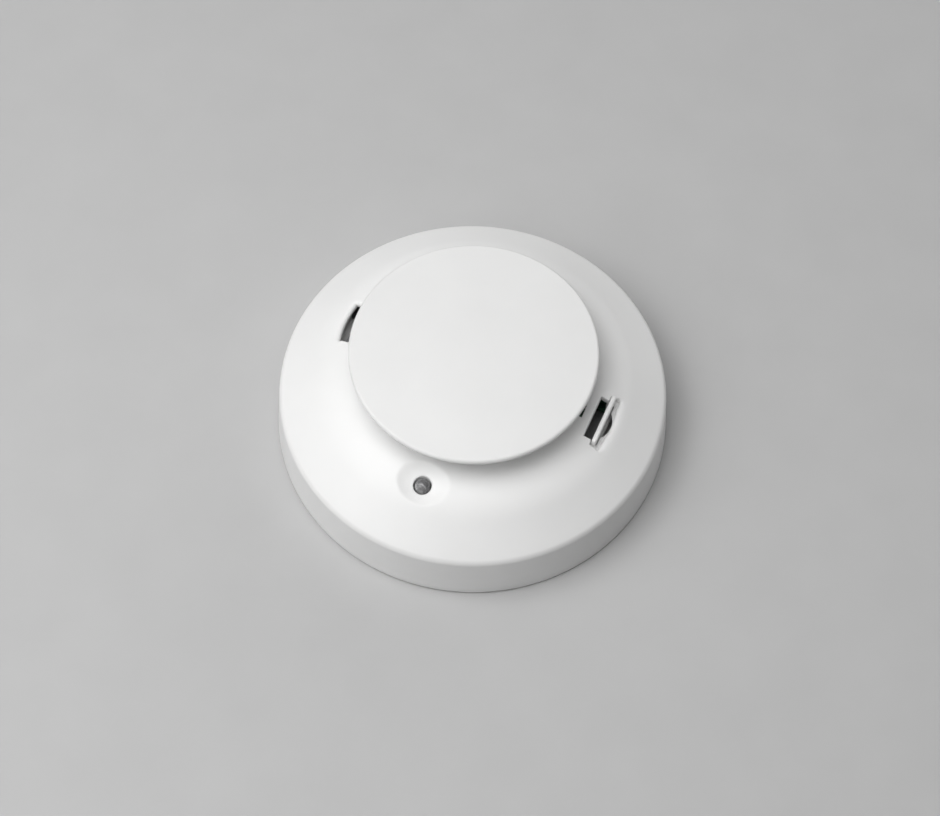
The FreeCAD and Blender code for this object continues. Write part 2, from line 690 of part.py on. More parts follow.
def make_base():
    pieces = [cylinder(BASE_R, 0, BASE_T)]
    pieces.append(tube((BASE_R - RIM_T, BASE_R), 0, RIM_TOP_Z))
    pieces.append(tube(WALL_R, BASE_T - MERGE, WALL_TOP_Z))
    for azimuth in BAYONET_AZIMUTHS:
        pieces += bayonet_station(azimuth)
    base = fused(pieces)
    cuts = [cylinder(WIRE_HOLE_R, -1, BASE_T + 1)]
    for azimuth in (0, 180):
        cuts.append(turned(fixing_slot(*FIXING_WIDE), azimuth))
    for azimuth in (90, 270):
        cuts.append(turned(fixing_slot(*FIXING_NARROW), azimuth))
    screw_hole = cylinder(TERMINAL_SCREW_R, BASE_T - TERMINAL_HOLE_DEPTH, BASE_T + 1, CONTACT_U, TERMINAL_SCREW_V)
    cuts += [turned(screw_hole, azimuth) for azimuth in CONTACT_AZIMUTHS]
    return base.cut(cuts)


def contact_strip():
    """Bent spring strip: flat under the screw, then a ramp up to a rounded crest."""
    underside = ((STRIP_END_V, BASE_T), (STRIP_BEND_V, BASE_T), (-CREST_HALF_V, CREST_Z - CREST_FALL),
                 (0.0, CREST_Z), (CREST_HALF_V, CREST_Z - CREST_FALL), (SHOE_HALF_V, STRIP_TIP_Z))
    under = [V(0, v, z) for v, z in underside]
    over = [V(0, v, z + STRIP_T) for v, z in reversed(underside)]
    outline = under + over
    face = Part.Face(Part.makePolygon(outline + outline[:1]))
    strip = face.extrude(V(2 * TERMINAL_HALF_U, 0, 0))
    strip.translate(V(CONTACT_U - TERMINAL_HALF_U, 0, 0))
    return strip.cut(cylinder(TERMINAL_SCREW_R, BASE_T - 1, BASE_T + 1, CONTACT_U, TERMINAL_SCREW_V))


def make_contact_springs():
    return group([turned(contact_strip(), azimuth) for azimuth in CONTACT_AZIMUTHS])


def make_terminal_clamps():
    z_low = BASE_T + STRIP_T
    u_span = (CONTACT_U - CLAMP_HALF, CONTACT_U + CLAMP_HALF)
    v_span = (TERMINAL_SCREW_V - CLAMP_HALF, TERMINAL_SCREW_V + CLAMP_HALF)
    clamp = block(u_span, v_span, (z_low, z_low + CLAMP_T))
    clamp = clamp.cut(cylinder(TERMINAL_SCREW_R, z_low - 1, z_low + CLAMP_T + 1, CONTACT_U, TERMINAL_SCREW_V))
    return group([turned(clamp, azimuth) for azimuth in CONTACT_AZIMUTHS])


def make_terminal_screws():
    seat = BASE_T + STRIP_T + CLAMP_T
    shank_r = TERMINAL_SCREW_R - SCREW_HOLE_CLEARANCE
    tip = BASE_T - TERMINAL_HOLE_DEPTH + SCREW_HOLE_CLEARANCE
    one = screw(shank_r, TERMINAL_HEAD_R, TERMINAL_HEAD_H, tip, seat, CONTACT_U, TERMINAL_SCREW_V)
    return group([turned(one, azimuth) for azimuth in CONTACT_AZIMUTHS])


# ---- every piece --------------------------------------------------------------------------------

def build():
    """Node name to shape, for every piece of the detector."""
    return {
        "base_plate": make_base(),
        "contact_springs": make_contact_springs(),
        "terminal_clamps": make_terminal_clamps(),
        "terminal_screws": make_terminal_screws(),
        "rear_carrier": make_carrier(),
        "base_seal": make_base_seal(),
        "contact_blades": make_contact_blades(),
        "circuit_board": make_board(),
        "board_screws": make_board_screws(),
        "controller_chip": chip(*CONTROLLER),
        "bridge_rectifier": chip(*RECTIFIER),
        "regulators": group([chip(*place) for place in REGULATORS]),
        "resistors": make_resistors(),
        "capacitors": make_capacitors(),
        "surge_suppressor": make_suppressor(),
        "heat_sensor_bead": make_sensor_bead(),
        "heat_sensor_leads": make_sensor_leads(),
        "heat_sensor_sleeve": make_sensor_sleeve(),
        "inner_heat_sensor": make_inner_sensor(),
        "indicator_lamp": make_lamp(),
        "lamp_spacer": make_lamp_spacer(),
        "lamp_leads": make_lamp_leads(),
        "outer_cover": make_cover(),
        "vane_cage": make_cage(),
        "sensor_cap": make_cap(),
        "release_latch": make_latch(),
    }


def main():
    os.makedirs("parts", exist_ok=True)
    for name, shape in build().items():
        if not shape.isValid():
            raise ValueError(name + " is not a valid shape")
        shape.exportStep("parts/" + name + ".step")
        print(name, len(shape.Solids), "solid(s)", round(shape.Volume), "mm3")


main()
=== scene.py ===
import bpy
import bmesh
import math
from mathutils import Matrix, Vector


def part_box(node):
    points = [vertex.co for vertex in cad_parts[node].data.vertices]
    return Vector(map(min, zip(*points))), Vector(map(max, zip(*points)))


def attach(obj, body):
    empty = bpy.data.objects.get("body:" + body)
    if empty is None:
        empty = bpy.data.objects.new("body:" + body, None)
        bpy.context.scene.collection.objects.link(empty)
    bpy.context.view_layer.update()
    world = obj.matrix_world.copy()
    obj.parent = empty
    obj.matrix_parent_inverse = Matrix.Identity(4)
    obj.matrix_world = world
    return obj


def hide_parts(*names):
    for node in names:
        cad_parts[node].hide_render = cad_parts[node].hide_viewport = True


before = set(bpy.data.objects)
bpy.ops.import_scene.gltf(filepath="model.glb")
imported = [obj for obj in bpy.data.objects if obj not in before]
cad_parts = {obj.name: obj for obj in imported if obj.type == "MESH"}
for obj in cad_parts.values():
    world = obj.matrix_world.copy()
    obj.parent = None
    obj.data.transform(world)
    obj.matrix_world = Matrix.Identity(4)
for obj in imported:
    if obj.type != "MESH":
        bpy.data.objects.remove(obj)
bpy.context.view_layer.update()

# Heat detector. Lengths in this file are in millimetres in the CAD frame, and MM turns them into
# metres. Pieces away from the axis are described by u, the radius, and v, the tangent, at an azimuth.

MM = 0.001

# ---- sizes shared with the frame ----------------------------------------------------------------

COVER_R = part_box("outer_cover")[1].x / MM
COVER_BOTTOM_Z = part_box("outer_cover")[0].z / MM
DOME_TOP_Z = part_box("outer_cover")[1].z / MM
CAP_TOP_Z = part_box("sensor_cap")[1].z / MM
CAP_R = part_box("sensor_cap")[1].x / MM
LAMP_TOP_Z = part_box("indicator_lamp")[1].z / MM
LAMP_BOTTOM_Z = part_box("indicator_lamp")[0].z / MM
LAMP_CENTRE = (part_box("indicator_lamp")[0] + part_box("indicator_lamp")[1]) / 2 / MM
FIN_TOP_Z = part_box("release_latch")[1].z / MM

WALL = 2.0
SKIRT_DRAFT = 5.6
EDGE_ROUND_R = 3.0
DOME_FLAT_R = 35.0
DOME_ROUND_R = 29.3
DOME_SLOPE = 33.0
COVER_HOLE_R = 20.0
CAP_RIM_Z = 42.1
CAP_RIM_T = 2.2
CAP_POCKET_R = 18.4
CAP_POCKET_DEPTH = 1.4
LATCH_AZIMUTH = -22.5
HOOK_AZIMUTH = 157.5
DISH_R = 8.5
DISH_DEPTH = 1.8
LAMP_HOLE_R = 2.8
LAMP_BODY_R = 2.5
LAMP_FLANGE_R = 2.9
LAMP_FLANGE_T = 1.0

# lead frame inside the lamp, measured from the lamp's axis
CUP_BELOW_DOME = 1.6
CUP_OFFSET = 0.55
CUP_POST_X = (-1.5, 0.1)
WIRE_POST_X = (0.75, 1.6)
LEAD_HALF_T = 0.25

# opening for the latch: square inside, with a round thumb hole outside and a groove for the fin
LATCH_SLOT_U = (40.3, 44.9)
SLOT_HALF = 7.4
THUMB_ROUND_R = 7.3
THUMB_CENTRE_U = 39.3
GROOVE_U = (43.0, 45.8)
GROOVE_HALF = 9.2
SCOOP_SIDE = [(45.8, 9.2), (45.9, 6.2), (46.3, 3.4), (46.6, 0.0)]
CORE_HOLE_U = (34.9, 37.4)
CORE_HOLE_HALF = 2.1

# opening over the fixed hook, and its outer side from the +v to the -v end
HOOK_SLOT_U = 40.0
HOOK_SLOT_V = (-7.2, 7.4)
HOOK_OUTER_SIDE = [(42.9, 7.4), (43.7, 4.8), (44.2, 2.0), (44.4, -1.0), (44.3, -4.0), (44.0, -7.1)]

# inside of the cover
RIB_COUNT = 6
FIRST_RIB_AZIMUTH = 40.0
RIB_R = (56.5, 60.4)
RIB_HALF_T = 0.8
RIB_Z = (12.5, 18.6)
CHEEK_V = (7.95, 10.0)
CHEEK_U = (42.0, 46.2)
CHEEK_Z = (20.2, 26.3)
CHEEK_TOP_U = (42.0, 43.9)
CHEEK_TOP_Z = (25.0, 27.3)
LEDGE_HALF = 6.0
LEDGE_WALL_U = (45.7, 47.2)
LEDGE_WALL_Z = (19.2, 26.2)
LEDGE_STEP_U = (43.3, 46.0)
LEDGE_STEP_Z = (19.2, 20.4)

# cage under the cap
CAGE_R = (18.2, 30.5)
CAGE_FOOT_T = 1.2
VANE_COUNT = 8
VANE_R = (19.0, 29.5)
VANE_HALF_T = 0.8
POST_COUNT = 4
POST_PITCH_R = 25.0
POST_R = 3.2
FIRST_POST_AZIMUTH = 22.5
PEG_R = 1.5
PEG_LENGTH = 5.0
LEG_U = (18.3, 19.6)
LEG_HALF = 2.5
LEG_BOTTOM_Z = 25.2
LEG_BARB_U = (19.4, 21.1)
LEG_BARB_Z = (26.8, 28.4)
JOIN = 0.5

# release latch
FIN_U = (43.3, 44.8)
FIN_HALF = 8.8
FIN_BOTTOM_Z = 28.2
LATCH_ARM_U = (43.3, 44.25)
LATCH_HALF = 7.2
LATCH_BOTTOM_Z = 14.0
LATCH_BARB_U = (43.8, 46.2)
LATCH_BARB_TOP_Z = 15.4
PIVOT_U = 44.05
PIVOT_Z = 22.0
PIVOT_HALF = 10.0
PIVOT_R = 1.0

SEGMENTS = 720
STEP_DEG = 360.0 / SEGMENTS
LINE_STEP = 0.5
FINE_R = (33.0, 55.5)


# ---- mesh building ------------------------------------------------------------------------------

class Skin:
    """Vertices in millimetres and faces of one mesh, added ring by ring."""

    def __init__(self):
        self.points = []
        self.faces = []

    def ring(self, points):
        start = len(self.points)
        self.points.extend(points)
        return list(range(start, len(self.points)))

    def bridge(self, first, second, skip=()):
        count = len(first)
        for i in range(count):
            j = (i + 1) % count
            if i not in skip:
                self.faces.append((first[i], first[j], second[j], second[i]))

    def fan(self, ring, centre):
        middle = self.ring([centre])[0]
        for i, corner in enumerate(ring):
            self.faces.append((corner, ring[(i + 1) % len(ring)], middle))

    def to_bmesh(self):
        bm = bmesh.new()
        made = [bm.verts.new(Vector(p) * MM) for p in self.points]
        for face in self.faces:
            bm.faces.new([made[i] for i in face])
        return bm


def turn(u, v, azimuth):
    angle = math.radians(azimuth)
    return u * math.cos(angle) - v * math.sin(angle), u * math.sin(angle) + v * math.cos(angle)


def circle(radius, z, count, centre=(0.0, 0.0)):
    points = []
    for i in range(count):
        x, y = turn(radius, 0, 360.0 * i / count)
        points.append((x + centre[0], y + centre[1], z))
    return points


def lathe(profile, count, centre=(0.0, 0.0), closed=False):
    """Turned body. An open profile starts and ends on the axis, a closed one is a ring."""
    skin = Skin()
    rings = []
    for radius, z in profile:
        if radius > 0:
            rings.append(skin.ring(circle(radius, z, count, centre)))
    for first, second in zip(rings, rings[1:]):
        skin.bridge(first, second)
    if closed:
        skin.bridge(rings[-1], rings[0])
    else:
        skin.fan(rings[0], (centre[0], centre[1], profile[0][1]))
        skin.fan(rings[-1], (centre[0], centre[1], profile[-1][1]))
    return skin.to_bmesh()


def arc_points(centre, radius, from_deg, to_deg, count):
    points = []
    for i in range(count + 1):
        angle = math.radians(from_deg + (to_deg - from_deg) * i / count)
        points.append((centre[0] + radius * math.cos(angle), centre[1] + radius * math.sin(angle)))
    return points


def straight(start, end, count):
    """Points from start up to, but without, end."""
    return [tuple(a + (b - a) * i / count for a, b in zip(start, end)) for i in range(count)]


def block(u_span, v_span, z_span, azimuth=0.0, edge=0.25, steps=2):
    """Box with rounded edges."""
    bm = bmesh.new()
    bmesh.ops.create_cube(bm, size=1.0)
    spans = (u_span, v_span, z_span)
    size = [high - low for low, high in spans]
    middle = [(high + low) / 2 for low, high in spans]
    for vert in bm.verts:
        vert.co = Vector([c * s + m for c, s, m in zip(vert.co, size, middle)])
    width = min(edge, min(size) * 0.45)
    bmesh.ops.bevel(bm, geom=bm.edges[:], offset=width, segments=steps, profile=0.5, affect="EDGES")
    bm.transform(Matrix.Scale(MM, 4) @ Matrix.Rotation(math.radians(azimuth), 4, "Z"))
    return bm


def rod(radius, start, end, count=32, edge=0.2):
    """Cylinder between two points, its ends chamfered."""
    start, end = Vector(start), Vector(end)
    length = (end - start).length
    profile = [(radius - edge, 0.0), (radius, edge), (radius, length - edge), (radius - edge, length)]
    bm = lathe(profile, count)
    turn_to = (end - start).to_track_quat("Z", "Y").to_matrix().to_4x4()
    bm.transform(Matrix.Translation(start * MM) @ turn_to)
    return bm


def merged(parts):
    total = bmesh.new()
    for part in parts:
        scratch = bpy.data.meshes.new("scratch")
        part.to_mesh(scratch)
        total.from_mesh(scratch)
        bpy.data.meshes.remove(scratch)
        part.free()
    return total


def piece(name, bm, body, material, replaces=(), sharp_deg=35.0):
    bmesh.ops.recalc_face_normals(bm, faces=bm.faces[:])
    mesh = bpy.data.meshes.new(name)
    bm.to_mesh(mesh)
    bm.free()
    mesh.shade_smooth()
    mesh.set_sharp_from_angle(angle=math.radians(sharp_deg))
    mesh.materials.append(material)
    made = bpy.data.objects.new(name, mesh)
    bpy.context.scene.collection.objects.link(made)
    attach(made, body)
    if replaces:
        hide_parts(*replaces)
    return made


# ---- materials ----------------------------------------------------------------------------------

def new_material(name, rough, metallic=0.0):
    material = bpy.data.materials.new(name)
    material.use_nodes = True
    shader = material.node_tree.nodes["Principled BSDF"]
    shader.inputs["Roughness"].default_value = rough
    shader.inputs["Metallic"].default_value = metallic
    return material, shader


def add_node(material, kind, **settings):
    node = material.node_tree.nodes.new(kind)
    for key, value in settings.items():
        node.inputs[key].default_value = value
    return node


def object_noise(material, scale, detail=3.0, rough=0.5):
    """Noise over the object's own coordinates; scale is in bumps per metre."""
    links = material.node_tree.links
    place = material.node_tree.nodes.new("ShaderNodeTexCoord")
    texture = add_node(material, "ShaderNodeTexNoise", Scale=scale, Detail=detail, Roughness=rough)
    links.new(place.outputs["Object"], texture.inputs["Vector"])
    return texture.outputs["Fac"]


def ramp(material, source, low, high, start=0.3, end=0.7):
    """Turns a 0 to 1 value into a colour between low and high."""
    node = material.node_tree.nodes.new("ShaderNodeValToRGB")
    node.color_ramp.elements[0].position = start
    node.color_ramp.elements[0].color = (*low, 1)
    node.color_ramp.elements[1].position = end
    node.color_ramp.elements[1].color = (*high, 1)
    material.node_tree.links.new(source, node.inputs["Fac"])
    return node.outputs["Color"]


def span(material, source, low, high):
    """Turns a 0 to 1 value into a number between low and high."""
    node = material.node_tree.nodes.new("ShaderNodeMapRange")
    node.inputs["To Min"].default_value = low
    node.inputs["To Max"].default_value = high
    material.node_tree.links.new(source, node.inputs["Value"])
    return node.outputs["Result"]


def bump(material, shader, source, distance_mm, strength=1.0):
    node = add_node(material, "ShaderNodeBump", Strength=strength, Distance=distance_mm * MM)
    material.node_tree.links.new(source, node.inputs["Height"])
    material.node_tree.links.new(node.outputs["Normal"], shader.inputs["Normal"])


def moulded(name, light, dark, rough=(0.38, 0.5), grain_mm=0.35, depth_mm=0.006):
    """Injection-moulded plastic: faint cloudy colour, uneven gloss and a fine spark-eroded grain."""
    material, shader = new_material(name, sum(rough) / 2)
    links = material.node_tree.links
    cloud = object_noise(material, 45.0, 4.0)
    links.new(ramp(material, cloud, dark, light), shader.inputs["Base Color"])
    links.new(span(material, object_noise(material, 160.0, 5.0), *rough), shader.inputs["Roughness"])
    bump(material, shader, object_noise(material, 1000.0 / grain_mm, 2.0), depth_mm, 0.6)
    return material


def metal(name, light, dark, rough=(0.22, 0.38)):
    """Plated or rolled metal with faint streaks along its length."""
    material, shader = new_material(name, sum(rough) / 2, 1.0)
    links = material.node_tree.links
    links.new(ramp(material, object_noise(material, 300.0, 4.0), dark, light), shader.inputs["Base Color"])
    links.new(span(material, object_noise(material, 900.0, 6.0), *rough), shader.inputs["Roughness"])
    bump(material, shader, object_noise(material, 4000.0, 2.0), 0.004, 0.5)
    return material


def laminate(name):
    """Green solder resist over copper tracks, which show as slightly raised lighter lines."""
    material, shader = new_material(name, 0.32)
    links = material.node_tree.links
    place = material.node_tree.nodes.new("ShaderNodeTexCoord")
    tracks = add_node(material, "ShaderNodeTexBrick", Scale=55.0)
    tracks.inputs["Mortar Size"].default_value = 0.035
    tracks.inputs["Mortar Smooth"].default_value = 0.2
    tracks.inputs["Brick Width"].default_value = 0.7
    tracks.inputs["Row Height"].default_value = 0.16
    tracks.inputs["Color1"].default_value = (0.03, 0.085, 0.05, 1)
    tracks.inputs["Color2"].default_value = (0.033, 0.095, 0.055, 1)
    tracks.inputs["Mortar"].default_value = (0.08, 0.21, 0.12, 1)
    links.new(place.outputs["Object"], tracks.inputs["Vector"])
    links.new(tracks.outputs["Color"], shader.inputs["Base Color"])
    bump(material, shader, tracks.outputs["Fac"], 0.04, 0.6)
    return material


def smoked_lens(name):
    """Grey-tinted clear epoxy of the indicator lamp."""
    material, shader = new_material(name, 0.06)
    shader.inputs["Base Color"].default_value = (0.42, 0.42, 0.43, 1)
    shader.inputs["Transmission Weight"].default_value = 0.65
    shader.inputs["IOR"].default_value = 1.53
    links = material.node_tree.links
    links.new(span(material, object_noise(material, 700.0, 3.0), 0.10, 0.24), shader.inputs["Roughness"])
    return material


COVER_WHITE = moulded("cover_white", (0.85, 0.85, 0.845), (0.825, 0.825, 0.82))
# the cap is the cover's white plastic made darker: painted shade that tones down its well-lit top
CAP_SHADED_WHITE = moulded("cap_shaded_white", (0.80, 0.80, 0.795), (0.775, 0.775, 0.77), (0.40, 0.52))
# the latch is made whiter than the cover: a painted highlight that keeps the fin bright beside the cap's
# shadow
LATCH_LIT_WHITE = moulded("latch_lit_white", (0.92, 0.92, 0.915), (0.89, 0.89, 0.885), (0.3, 0.4))
BASE_WHITE = moulded("base_white", (0.80, 0.80, 0.785), (0.765, 0.765, 0.75), (0.42, 0.55))
CARRIER_GREY = moulded("carrier_grey", (0.42, 0.42, 0.43), (0.38, 0.38, 0.39), (0.4, 0.55))
SPACER_BLACK = moulded("spacer_black", (0.03, 0.03, 0.03), (0.02, 0.02, 0.02))
CHIP_BLACK = moulded("chip_black", (0.025, 0.025, 0.028), (0.016, 0.016, 0.018), (0.45, 0.6), 0.15, 0.01)
SLEEVE_CLEAR = moulded("sleeve_clear", (0.70, 0.69, 0.64), (0.63, 0.62, 0.57), (0.25, 0.35))
BEAD_BLACK = moulded("bead_black", (0.03, 0.03, 0.03), (0.018, 0.018, 0.018), (0.12, 0.22), 0.8, 0.02)
SUPPRESSOR_BLUE = moulded("suppressor_blue", (0.03, 0.10, 0.36), (0.02, 0.075, 0.29), (0.18, 0.3), 0.9, 0.03)
SEAL_FOAM = moulded("seal_foam", (0.05, 0.05, 0.05), (0.03, 0.03, 0.03), (0.8, 0.95), 0.3, 0.08)
BOARD_GREEN = laminate("board_green")
LENS_SMOKED = smoked_lens("lens_smoked")
TINNED = metal("tinned", (0.80, 0.80, 0.79), (0.68, 0.68, 0.67))
BRASS = metal("brass", (0.82, 0.62, 0.30), (0.70, 0.50, 0.22))
SPRING_STEEL = metal("spring_steel", (0.66, 0.65, 0.63), (0.56, 0.55, 0.53))
ZINC = metal("zinc", (0.74, 0.74, 0.71), (0.60, 0.61, 0.60), (0.25, 0.42))
CAN = metal("can", (0.82, 0.83, 0.84), (0.72, 0.73, 0.74), (0.2, 0.32))


# ---- outer cover --------------------------------------------------------------------------------

def unit(degrees):
    return Vector((math.cos(math.radians(degrees)), math.sin(math.radians(degrees))))


DOME_CENTRE = Vector((DOME_FLAT_R, DOME_TOP_Z - DOME_ROUND_R))
LAMP_R = math.hypot(LAMP_CENTRE.x, LAMP_CENTRE.y)
LAMP_AZIMUTH = math.degrees(math.atan2(LAMP_CENTRE.y, LAMP_CENTRE.x))


def edge_centre():
    """Centre of the round between the sloping dome and the skirt, in the (radius, z) plane."""
    slope_normal, skirt_normal = unit(90 - DOME_SLOPE), unit(SKIRT_DRAFT)
    slope_at = DOME_CENTRE.dot(slope_normal) + DOME_ROUND_R - EDGE_ROUND_R
    skirt_at = Vector((COVER_R, COVER_BOTTOM_Z)).dot(skirt_normal) - EDGE_ROUND_R
    det = slope_normal.x * skirt_normal.y - slope_normal.y * skirt_normal.x
    return Vector(((slope_at * skirt_normal.y - skirt_at * slope_normal.y) / det,
                   (slope_normal.x * skirt_at - skirt_normal.x * slope_at) / det))


def dome_height(radius, inset=0.0):
    """Height of the dome, moved inwards by inset: flat, then round, then sloping."""
    slope = math.radians(DOME_SLOPE)
    round_r = DOME_ROUND_R - inset
    run = max(0.0, radius - DOME_FLAT_R)
    beyond = max(0.0, run - round_r * math.sin(slope))
    run -= beyond
    return DOME_CENTRE.y + math.sqrt(round_r ** 2 - run ** 2) - beyond * math.tan(slope)


# the dish is part of a ball, whose centre stands square over the sloping dome
DISH_BLEND = 0.35
BALL_R = (DISH_R ** 2 + DISH_DEPTH ** 2) / (2 * DISH_DEPTH)
BALL_LEAN = math.asin((LAMP_R - DOME_FLAT_R) / DOME_ROUND_R)
BALL_RISE = BALL_R - DISH_DEPTH
BALL_Z = dome_height(LAMP_R) + BALL_RISE * math.cos(BALL_LEAN)
BALL_X, BALL_Y = turn(LAMP_R + BALL_RISE * math.sin(BALL_LEAN), 0, LAMP_AZIMUTH)


def smooth_lower(a, b, blend):
    """The lower of two heights, rounded where they cross."""
    mix = max(0.0, min(1.0, 0.5 + 0.5 * (b - a) / blend))
    return b + (a - b) * mix - blend * mix * (1 - mix)


def outer_height(x, y):
    """Height of the cover's outer face, with the dish round the lamp."""
    dome = dome_height(math.hypot(x, y))
    if math.hypot(x - LAMP_CENTRE.x, y - LAMP_CENTRE.y) > DISH_R + 3:
        return dome
    ball = BALL_Z - math.sqrt(BALL_R ** 2 - (x - BALL_X) ** 2 - (y - BALL_Y) ** 2)
    return smooth_lower(dome, ball, DISH_BLEND)


def inner_height(x, y):
    return dome_height(math.hypot(x, y), WALL)


def resampled(corners, count):
    """count points along a polyline, evenly spaced, without its last corner."""
    lengths = [math.dist(a, b) for a, b in zip(corners, corners[1:])]
    points = []
    for i in range(count):
        left = sum(lengths) * i / count
        k = 0
        while left > lengths[k]:
            left -= lengths[k]
            k += 1
        share = left / lengths[k]
        points.append(tuple(a + (b - a) * share for a, b in zip(corners[k], corners[k + 1])))
    return points


def outline(sides, counts):
    """One loop from four sides, each resampled to the count of the grid's side it faces."""
    loop = []
    for side, count in zip(sides, counts):
        loop.extend(resampled(side, count))
    return loop


def outward(loop):
    """Unit normals that point out of a loop that runs clockwise in (u, v)."""
    normals = []
    for i in range(len(loop)):
        before, after = loop[i - 1], loop[(i + 1) % len(loop)]
        along = Vector((after[0] - before[0], after[1] - before[1])).normalized()
        normals.append((-along.y, along.x))
    return normals


def moved(loop, normals, distances):
    return [(p[0] + n[0] * d, p[1] + n[1] * d) for p, n, d in zip(loop, normals, distances)]


def mixed(first, second, share):
    return [tuple(a + (b - a) * share for a, b in zip(p, q)) for p, q in zip(first, second)]


def softened(values, reach):
    """Running mean round a loop, so that depths change gradually at its corners."""
    count = len(values)
    near = range(-reach, reach + 1)
    return [sum(values[(i + k) % count] for k in near) / len(near) for i in range(count)]


def mirrored_sides(half_inner, half_end, half_outer):
    """Four sides of a loop symmetric in v, from the halves drawn on the +v side."""
    def flip(points):
        return [(u, -v) for u, v in reversed(points)]
    return [flip(half_inner) + half_inner[1:], half_end, half_outer + flip(half_outer)[1:], flip(half_end)]


class CoverGrid:
    """The cover's two faces as rings of vertices, with windows left open for the patches."""

    def __init__(self):
        self.skin = Skin()
        self.lines = [FINE_R[0] + LINE_STEP * i for i in range(int((FINE_R[1] - FINE_R[0]) / LINE_STEP) + 1)]
        self.skipped = {}
        self.outer = {}
        self.inner = {}

    def polar_ring(self, radius, z):
        points = []
        for i in range(SEGMENTS):
            x, y = turn(radius, 0, LATCH_AZIMUTH + STEP_DEG * i)
            points.append((x, y, z))
        return self.skin.ring(points)

    def build(self):
        edge = edge_centre()
        foot_lip = 0.35
        outer_foot = Vector((COVER_R, COVER_BOTTOM_Z))
        inner_foot = Vector((COVER_R - WALL, COVER_BOTTOM_Z))
        before = [(r, DOME_TOP_Z) for r in (COVER_HOLE_R + 0.2, 24.0, 28.0, 31.0)]
        outer_edge = arc_points(edge, EDGE_ROUND_R, 90 - DOME_SLOPE, SKIRT_DRAFT, 14)
        outer_skirt = straight(outer_edge[-1], (outer_foot.x, outer_foot.y + foot_lip), 8)[1:]
        lip = arc_points((outer_foot.x - foot_lip, outer_foot.y + foot_lip), foot_lip, 0, -90, 4)
        inner_lip = arc_points((inner_foot.x + foot_lip, inner_foot.y + foot_lip), foot_lip, -90, -180, 4)
        inner_edge = arc_points(edge, EDGE_ROUND_R - WALL, SKIRT_DRAFT, 90 - DOME_SLOPE, 6)
        inner_skirt = straight(inner_lip[-1], inner_edge[0], 8)[1:]
        slope = straight((FINE_R[1], dome_height(FINE_R[1])), outer_edge[0], 8)[1:]
        inner_slope = straight(inner_edge[-1], (FINE_R[1], dome_height(FINE_R[1], WALL)), 8)[1:]
        after = [(r, DOME_TOP_Z - WALL) for r in (31.0, 28.0, 24.0, COVER_HOLE_R + 0.2)]
        hole = [(COVER_HOLE_R, DOME_TOP_Z - WALL + 0.2), (COVER_HOLE_R, DOME_TOP_Z - 0.2)]

        rings = [self.polar_ring(r, z) for r, z in before]
        for radius in self.lines:
            self.outer[radius] = self.polar_ring(radius, dome_height(radius))
            rings.append(self.outer[radius])
        outside = slope + outer_edge + outer_skirt + lip
        inside = inner_lip + inner_skirt + inner_edge + inner_slope
        rings += [self.polar_ring(r, z) for r, z in outside + inside]
        for radius in reversed(self.lines):
            self.inner[radius] = self.polar_ring(radius, dome_height(radius, WALL))
            rings.append(self.inner[radius])
        rings += [self.polar_ring(r, z) for r, z in after + hole]
        low_lines = {self.outer[r][0]: r for r in self.lines[:-1]}
        low_lines.update({self.inner[r + LINE_STEP][0]: r for r in self.lines[:-1]})
        for i, first in enumerate(rings):
            second = rings[(i + 1) % len(rings)]
            self.skin.bridge(first, second, self.skipped.get(low_lines.get(first[0]), ()))

    def open_window(self, radii, azimuth, half_deg):
        """Leaves out the cells between two radii, half_deg to each side of an azimuth on the grid."""
        middle = round((azimuth - LATCH_AZIMUTH) / STEP_DEG)
        half = round(half_deg / STEP_DEG)
        cells = {i % SEGMENTS for i in range(middle - half, middle + half)}
        for radius in self.lines:
            if radii[0] <= radius < radii[1]:
                self.skipped[radius] = self.skipped.get(radius, set()) | cells
        return radii, middle - half, middle + half

    def window_loop(self, window, rings):
        """Vertices round a window, clockwise in (u, v), and how many lie on each of its sides."""
        (low, high), first, last = window
        climb = [r for r in self.lines if low <= r < high]
        drop = [r for r in reversed(self.lines) if low < r <= high]
        loop = [rings[low][i % SEGMENTS] for i in range(first, last)]
        loop += [rings[r][last % SEGMENTS] for r in climb]
        loop += [rings[high][i % SEGMENTS] for i in range(last, first, -1)]
        loop += [rings[r][first % SEGMENTS] for r in drop]
        return loop, (last - first, len(climb), last - first, len(drop))

    def local(self, loop, azimuth):
        return [turn(self.skin.points[i][0], self.skin.points[i][1], -azimuth) for i in loop]

    def fill(self, loop, azimuth, target, height, steps, ease=1.0):
        """Rings from a window's loop to the loop target, lying on the surface height(x, y)."""
        start = self.local(loop, azimuth)
        last = loop
        for k in range(1, steps + 1):
            ring = self.place(mixed(start, target, (k / steps) ** ease), azimuth, height)
            self.skin.bridge(last, ring)
            last = ring
        return last

    def place(self, loop, azimuth, height, depths=None):
        points = []
        for i, (u, v) in enumerate(loop):
            x, y = turn(u, v, azimuth)
            points.append((x, y, height(x, y) - (depths[i] if depths else 0.0)))
        return self.skin.ring(points)


LIP_DEPTH = 1.7


